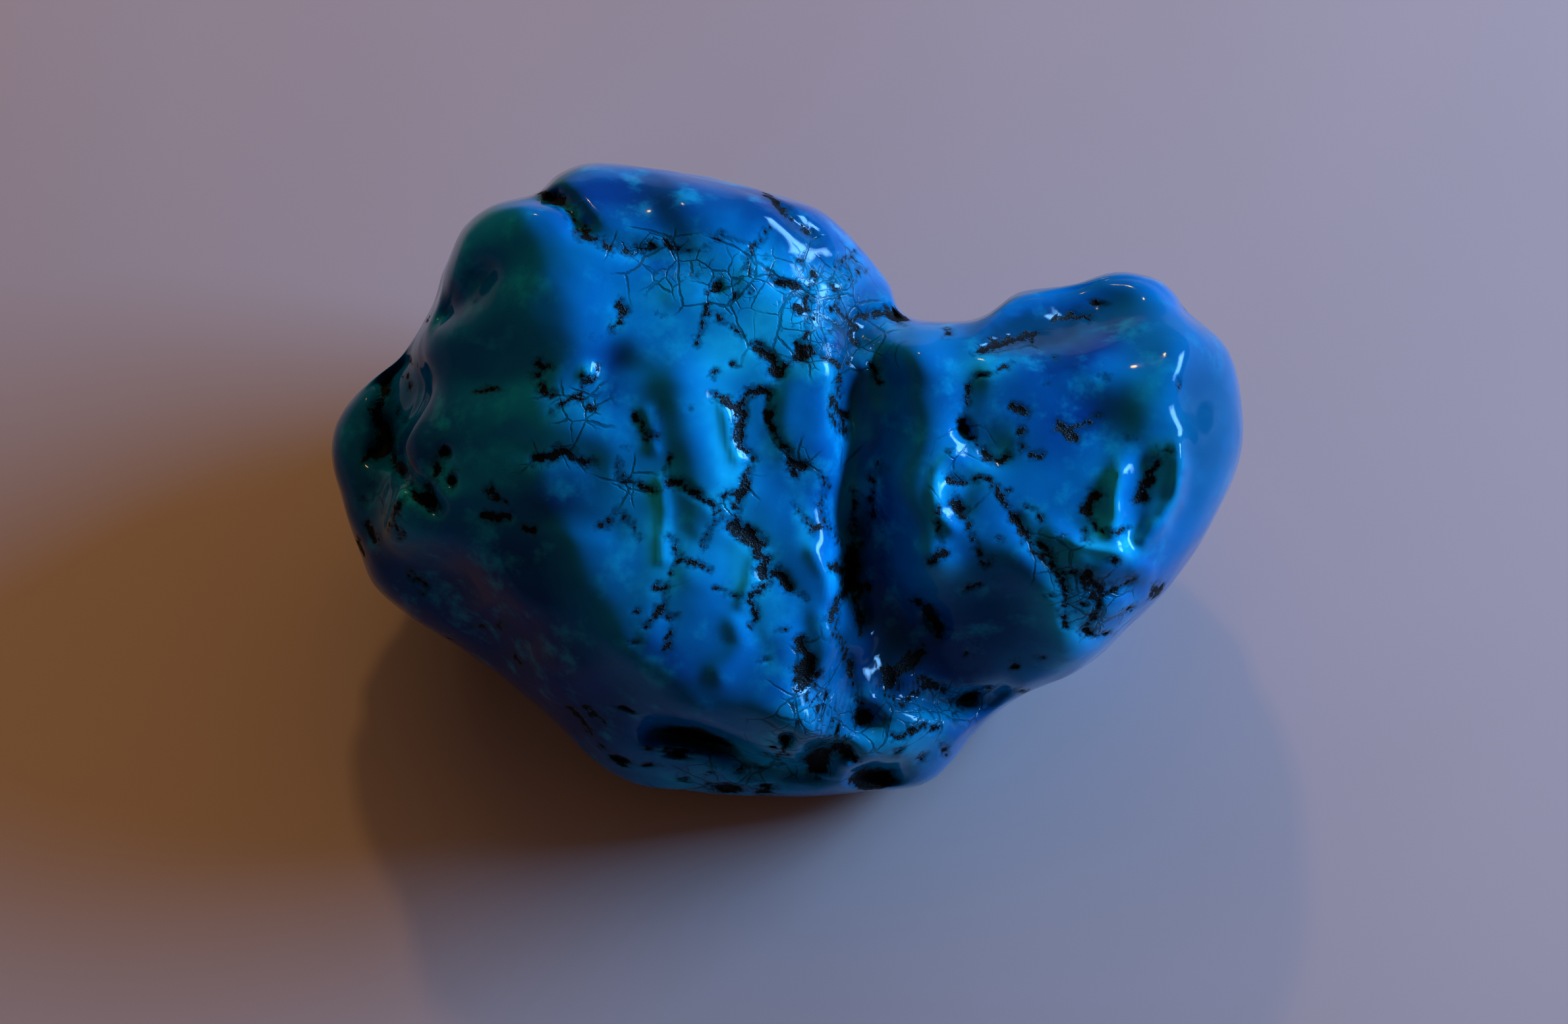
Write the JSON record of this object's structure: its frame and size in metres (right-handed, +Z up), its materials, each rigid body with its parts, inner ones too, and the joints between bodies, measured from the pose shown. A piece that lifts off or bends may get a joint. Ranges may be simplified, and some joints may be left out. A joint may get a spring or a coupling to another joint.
{
  "type": "turquoise nugget",
  "caption": "Polished turquoise nugget: a rounded, two-lobed natural stone with a cleft, ledges, nodules and pits, resting on its flattest side.",
  "frame": {"origin": "middle of the bounding box in plan, at the height of the flat rest that the stone stands on", "axes": "+X along the stone's length toward its smaller lobe, +Z up from the surface it rests on, the broad show face looks up and toward -Y"},
  "size_m": [0.06, 0.0402, 0.0304],
  "materials": {
    "turquoise": "high polish, sky-blue turquoise with dark brown-black matrix in its cracks and pits"
  },
  "bodies": {
    "root": {"turquoise_nugget": "turquoise"}
  },
  "joints": []
}
